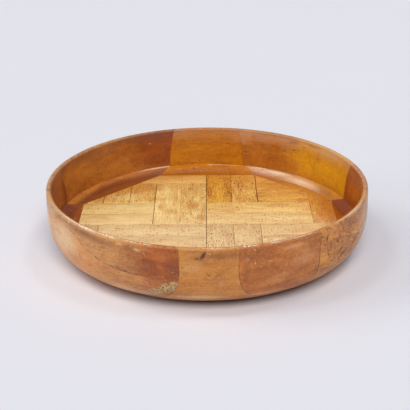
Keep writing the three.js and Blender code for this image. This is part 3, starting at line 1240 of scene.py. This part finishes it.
# %% The back right board
finish_wall(
    "board_back_right", "wall_amber", light=(193, 117, 34), dark=(153, 80, 19),
    drift=((231, 166, 13), (196, 124, 4), 150, 134), figure=QUIET, joints={46: 0.5}, pits=0.12,
    haze=(0.75, (200, 150, 112)), step_shine=0.7, foot=0.2, cloud=[(125, 36, 170, 64, 0.5)],
    inside_cloud=[(120, 21.5, 60, 12, 0.4)],
    inside_bruise=[
        (157.8, 58.2, 14, 1.2, 0.7), (157.0, 55.8, 10, 1.0, 0.6, 3), (141.5, 58, 18, 4.5, 0.55, 4),
        (136, 56, 9, 2.5, 0.45, 10), (131, 60, 20, 4.0, 0.45, -3), (152, 35.1, 1.4, 1.4, 0.6),
        (145.5, 38.2, 1.2, 1.2, 0.6),
    ],
    # The pale marks on the inner step, 21.5 to 24 mm high, are a painted highlight; those at 59 mm
    # are scuffs.
    inside_scuff=[
        (157, 24.0, 44, 3.0, 0.5), (147, 23.2, 56, 5.5, 0.65), (134, 21.6, 60, 7, 0.35),
        (160, 23, 1.2, 3, 0.5), (147, 59, 40, 7, 0.15, 3), (122, 59, 60, 9, 0.25),
        (142, 21.5, 130, 14, 0.25),
    ],
)

# %% The back block
finish_wall(
    "block_back", "wall_orange", light=(209, 132, 11), dark=(173, 97, 5), figure=PLAIN,
    joints={90: 0.5, 46: 0.5, 136: 0.45}, pits=0.12, haze=(0.7, (190, 136, 100)), step_shine=0.16,
    # The pale line at 24.2 mm along the inner step is a painted highlight.
    foot=0.45, inside_scuff=[(180, 24.2, 110, 1.5, 0.4)],
    inside_bruise=[(-176.8, 28.8, 2.6, 1.7, 1.0)],
)

# %% The back left board
finish_wall(
    "board_back_left", "wall_orange", light=(204, 127, 48), dark=(162, 89, 28),
    drift=((168, 86, 31), (130, 58, 18), -140, -158), figure=PLAIN, joints={136: 0.45}, pits=0.12,
    haze=(0.75, (124, 74, 58)), step_shine=0.28, foot=0.75,
    # The dark clouds on the inner step, and the darkened foot of the step, are painted shade.
    inside_cloud=[(-163, 20.5, 90, 14, 0.8), (-130, 19.5, 140, 10, 0.8)],
    inside_bruise=[(-125.2, 61.6, 4.5, 1.4, 0.95), (-114, 47.3, 1.4, 1.4, 0.6)],
    # The long pale mark at 24.4 mm is a painted highlight along the inner step; the two small ones
    # are scuffs.
    inside_scuff=[
        (-159, 24.4, 74, 2.4, 0.7), (-155.2, 51.9, 2.4, 1.3, 0.9, -20),
        (-139.8, 22.8, 1.3, 1.3, 1.0),
    ],
)

# %% The left block
finish_wall(
    "block_left", "wall_red_brown", light=(197, 115, 53), dark=(153, 80, 38), figure=LIVELY,
    # The large pale patch outside is a painted sheen at the left edge.
    joints={180: 0.5, 136: 0.6, 225: 0.6}, pits=0.1, scuff=[(-88, 40, 60, 60, 0.6)],
    # The purple mark on the inner step is painted shade.
    inside_cloud=[(-103, 40, 22, 56, 0.85)], inside_purple=[(-99, 20.5, 72, 22, 0.7)],
)

# %% [markdown]
# ## The finish of the floor
#
# The strips are a paler hardwood, sanded flat and polished. The `grain` attribute gives each
# strip its own figure, and `tone` fades between the pale and the golden wood. Near the wall, at
# the back, a honey colour is laid on as a painted reflection of the orange wall, and the front
# of the floor is laid paler as a painted sheen. Pores are the main detail here. A few knots and
# stains belong to places on the floor and are laid as marks, and so are some pale patches on
# the left, which are painted light.

# %% The recipe for a strip
FLOOR_MARKS = on_the_floor(
    (29, 38.5, 4.2, 2.2, 1.0, -10), (96.5, 78, 12.0, 2.0, 0.7, -24), (63, 106, 12.0, 1.4, 0.6, 8),
    (-104, 70, 4.0, 3.0, 0.7), (25, 106, 1.4, 7.0, 0.8), (28.5, 100, 1.6, 9.0, 0.8),
    (32, 98, 1.4, 7.0, 0.75), (34.5, 104, 1.2, 6.0, 0.6), (47, 100, 1.1, 9.0, 0.8),
    (70, 100.5, 8.0, 1.6, 0.5, 6), (83, 97.5, 3.0, 1.4, 0.6), (94.5, 71, 13.0, 2.4, 0.45, -22),
    (55, 18.5, 4.6, 1.1, 0.6, 60), (79.5, 16.5, 2.8, 1.8, 0.5), (61, 40, 1.8, 1.8, 0.8),
    (18, 76.5, 10.0, 1.2, 0.5, 4),
)
STAIN_MARKS = on_the_floor(
    (-14, 43, 20, 36, 0.75), (-6, 15, 14, 18, 0.6), (-35, 30, 18, 22, 0.5, 20),
    (20, 30, 30, 14, 0.35), (85, -15, 80, 50, 0.22), (-50, 60, 30, 12, 0.4),
    (118, 32, 50, 120, 1.0), (115, 60, 30, 60, 0.5), (96, 76, 30, 8, 0.6, -20),
    (-45, 40, 12, 30, 0.5), (-12.5, 83, 26, 50, 0.35), (90, 95, 44, 14, 0.5, -22),
    (80, 85, 40, 12, 0.35, -10), (-60, 88, 50, 22, 0.35),
)
# Pale patches on the left strips: painted light where the wall shades them, and a painted
# highlight line.
CLEAN_MARKS = on_the_floor(
    (-70, 40, 110, 44, 0.42), (-80, 66, 60, 24, 0.35), (-64, 47, 70, 5, 0.3),
)
CLEAN = (shade(255, 230, 158), 0.3, 0.8)
FADED = shade(240, 208, 172)
HONEY = shade(206, 138, 48)
STRIP_PORE = shade(140, 62, 36)
STRIP_STAIN = (shade(186, 112, 34), 0.6, 1.0)


def strip_finish(name, pale, gold, stain):
    """The polished wood of the parquet."""
    material, skin, here = new_material(name)
    on_strip = add("Attribute", {"attribute_name": "grain"}).outputs["Vector"]
    gold_share, pore_share, half_width = xyz(
        add("Attribute", {"attribute_name": "tone"}).outputs["Vector"],
    )
    towards_back = xyz(here)[1]
    parts = xyz(on_strip)
    grain = vectors("ADD", on_strip, joined(parts[2], times(parts[2], 0.7), 0.0))
    figure = {"Ring_Width": 0.0028, "Rings": 0.25, "Mottle": 0.7, "Fibre": 0.6, "Specks": 0.4}
    light, dark = (blend(gold_share, shade(*p), shade(*g)) for p, g in zip(pale, gold))
    wood = use(wood_figure, Vector=grain, Light=light, Dark=dark, **figure)
    near_the_wall = vectors("LENGTH", stretched(here, 1.0, 1.0, 0.0))
    near_the_wall = fade(near_the_wall, 0.080, 0.126, 0.0, 0.6)
    blotches = fade(noise(stretched(grain, 0.6), 80.0, 6.0, 0.72), 0.54, 0.68)
    stains = times(times(blotches, pore_share), stain)
    stains = largest(lay_marks(here, STAIN_MARKS, STRIP_STAIN), stains)
    fine = use(flat_pores, Vector=grain, Spacing=0.0013, Draw=0.4, Amount=pore_share)["Mask"]
    large = use(
        flat_pores, Vector=vectors("ADD", grain, (0.5, 0.2, 0.0)), Spacing=0.0022, Draw=0.28,
        Amount=times(maths("POWER", pore_share, 2.0), 0.85), Thickness=0.17,
    )["Mask"]
    knots = lay_marks(here, FLOOR_MARKS, STYLES["bruise"])
    dirty = fade(minus(half_width, unsigned(parts[1])), 0.0009, 0.0001)
    dirty = times(dirty, fade(noise(here, 90.0, 3.0, 0.6), 0.45, 0.65))
    colour = layers(
        # Near the wall at the back, a honey colour: a painted reflection of the orange wall.
        wood["Color"], (times(near_the_wall, fade(towards_back, 0.045, 0.09)), HONEY),
        # The front of the floor is laid paler: a painted sheen.
        (times(fade(towards_back, 0.05, -0.03), 0.4), FADED),
        # Pale patches on the left: painted light.
        (lay_marks(here, CLEAN_MARKS, CLEAN), CLEAN[0]), (stains, STRIP_STAIN[0]),
        (times(fine, 0.65), STRIP_PORE),
        (times(large, 0.9), blend(gold_share, STRIP_PORE, BRUISE)), (knots, DIRT),
        (times(dirty, 0.5), STRIP_PORE),
    )
    relief = times_plus(largest(fine, large, knots), -1.0, wood["Height"])
    relief = times_plus(noise(stretched(grain, 0.5), 60.0, 1.0, 0.5), 1.2, relief)
    dull = fade(noise(here, 30.0, 3.0, 0.6), 0.3, 0.7, 0.38, 0.55)
    finish_skin(skin, colour, dull, relief, strength=0.4)
    return material


strip_materials = {
    "parquet_pale": strip_finish(
        "parquet_pale", ((253, 224, 148), (225, 169, 92)), ((236, 178, 66), (178, 102, 30)), 0.55,
    ),
    "parquet_gold": strip_finish(
        "parquet_gold", ((253, 223, 146), (226, 168, 88)), ((233, 174, 60), (172, 96, 28)), 0.7,
    ),
}
PALE_KINDS = ("long_1", "edge_2", "short_2", "cross")
strip_slots = {}
for name, strip in floor_strips.items():
    kind = name.split("_", 2)[2]
    strip_slots[name] = "parquet_pale" if kind in PALE_KINDS else "parquet_gold"
    dress(strip, strip_materials[strip_slots[name]])
print("two floor finishes on", len(strip_slots), "strips")

# %% The base board, oiled and plain
def base_finish(name):
    """Bare oiled wood, with turning marks and a dull, rubbed foot."""
    material, skin, here = new_material(name)
    woods = {"Light": shade(196, 146, 94), "Dark": shade(150, 98, 58)}
    figure = {"Ring_Width": 0.008, "Rings": 0.5, "Mottle": 0.6, "Fibre": 0.4}
    wood = use(wood_figure, Vector=here, **woods, **figure)
    specks = use(pores, Vector=here, Spacing=0.002, Draw=0.3, Amount=0.6)["Mask"]
    from_axis = vectors("LENGTH", stretched(here, 1.0, 1.0, 0.0))
    tool_marks = maths("SINE", times(from_axis, 2600.0))
    rubbed = fade(noise(here, 26.0, 4.0, 0.6), 0.45, 0.62)
    rubbed = times(rubbed, fade(from_axis, 0.104, 0.099))
    colour = layers(
        wood["Color"], (times(specks, 0.6), BRUISE), (times(rubbed, 0.45), shade(120, 82, 54)),
    )
    dull = fade(noise(here, 40.0, 2.0, 0.5), 0.3, 0.7, 0.5, 0.68)
    relief = times_plus(tool_marks, 0.25, wood["Height"])
    finish_skin(skin, colour, dull, times_plus(specks, -1.0, relief))
    return material


dress(base, base_finish("base_wood"))
print("finish on the base board")

# %% [markdown]
# ## Tell the frame which piece is which
# Each new piece stands for one solid of the measured model, which is then hidden. Nothing on the
# bowl moves, so everything rides on its one body, the root. The slot names the finish in the
# part's record, so that a scene can repaint it.

# %% Ride and replace
def hand_over(piece, node):
    """Puts a piece in the place of a solid of the measured model."""
    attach(piece, "root")
    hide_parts(node)


for name, piece in wall.items():
    prefix = "wall_" if name in BOARDS else "corner_"
    hand_over(piece, prefix + name)
for name, piece in floor_strips.items():
    hand_over(piece, name.replace("strip", "parquet", 1))
hand_over(base, "base_board")
print(len(wall) + len(floor_strips) + 1, "pieces stand for", len(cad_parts), "solids")

# %% [markdown]
# ## Floor, light and camera
#
# The bowl stands on a pale studio sweep. Five wide suns act as soft boxes. The main one hangs
# over the camera, a little to its right. Two low ones on the left draw the long soft shadow on
# the right. One high on the left lays a broad sheen on the right half of the inner step, and
# one high on the right a thin line along the step at the left; both highlights are also painted
# on the step as pale marks. The world adds a slightly blue light, only from above, and to the
# polish it looks like a dim room. The camera was fitted to the parquet's square joints and the
# rim, so the lens is long and looks down by a little over 23 degrees.

# %% The studio floor
BACKDROP = (0.795, 0.765, 0.812, 1.0)
FLOOR_COLOUR = (0.755, 0.743, 0.777)
bpy.ops.object.select_all(action="DESELECT")
bpy.ops.mesh.primitive_circle_add(vertices=96, radius=12, fill_type="NGON")
studio_floor = bpy.context.object
studio_floor.name = "studio_floor"
paper, skin, here = new_material("studio_paper")
darker, lighter = ((*(share * v for v in FLOOR_COLOUR), 1.0) for share in (0.985, 1.015))
plug(skin["Base Color"], blend(noise(here, 2.0, 2.0, 0.5), darker, lighter))
plug(skin["Roughness"], 0.9)
plug(skin["Specular IOR Level"], 0.2)
dress(studio_floor, paper)
print("the studio floor is", round(studio_floor.dimensions.x), "m across")

# %% The world
FILL_LIGHT = 0.172
ROOM_LIGHT = 0.22
world = bpy.data.worlds.new("studio")
bpy.context.scene.world = world
world.use_nodes = True
open_tree(world.node_tree)
sky = bench.nodes["Background"]
plug(sky.inputs["Color"], (0.84, 0.97, 1.22, 1.0))
upward = xyz(add("TexCoord").outputs["Generated"])[2]
plug(sky.inputs["Strength"], fade(upward, 0.15, 0.5, 0.0, FILL_LIGHT))
room = add("Background", Color=(1.0, 1.0, 1.0, 1.0), Strength=ROOM_LIGHT)
backdrop = add("Background", Color=BACKDROP, Strength=1.0)
rays = add("LightPath").outputs
mirrored = (rays["Is Glossy Ray"], sky.outputs[0], room.outputs[0])
mirrored = add_in_order("MixShader", {}, mirrored)[0]
seen = (rays["Is Camera Ray"], mirrored, backdrop.outputs[0])
plug(bench.nodes["World Output"].inputs["Surface"], add_in_order("MixShader", {}, seen)[0])
print("the world has", len(bench.nodes), "nodes")

# %% The lamps
def soft_sun(name, azimuth, elevation, level, spread):
    """A wide sun, placed by its angle from the front and above the floor. Its level is the
    share of full white that it gives a level surface."""
    bpy.ops.object.light_add(type="SUN", location=(0, 0, 2))
    lamp = bpy.context.object
    lamp.name = name
    turn_to, rise = math.radians(azimuth), math.radians(elevation)
    flat = math.cos(rise)
    comes_from = Vector((math.sin(turn_to) * flat, -math.cos(turn_to) * flat, math.sin(rise)))
    lamp.rotation_euler = comes_from.to_track_quat("Z", "Y").to_euler()
    lamp.data.energy = level * math.pi / comes_from.z
    lamp.data.angle = math.radians(spread)


soft_sun("front_softbox", 6, 48.5, 0.53, 34)
soft_sun("left_softbox", -100, 40, 0.11, 26)
soft_sun("low_left_softbox", -78, 20, 0.045, 24)
soft_sun("high_left_softbox", -80, 63, 0.11, 15)
soft_sun("right_softbox", 90, 68, 0.10, 12)

# %% The camera
CAMERA_PLACE = Vector((1.2, -887.1, 422.0)) * MM
CAMERA_AIM = Vector((-2.13, 44.54, 18.2)) * MM
CAMERA_ROLL = -0.45
LENS = 90.845
bpy.ops.object.camera_add(location=CAMERA_PLACE)
camera = bpy.context.object
aim = (CAMERA_AIM - CAMERA_PLACE).to_track_quat("-Z", "Y").to_matrix()
camera.rotation_euler = aim.to_euler()
camera.rotation_euler.rotate_axis("Z", math.radians(CAMERA_ROLL))
camera.data.lens = LENS
camera.data.sensor_width = 36
camera.data.clip_end = 100
bpy.context.scene.camera = camera
bpy.context.scene.view_settings.view_transform = "Standard"
print("camera at", camera.location)
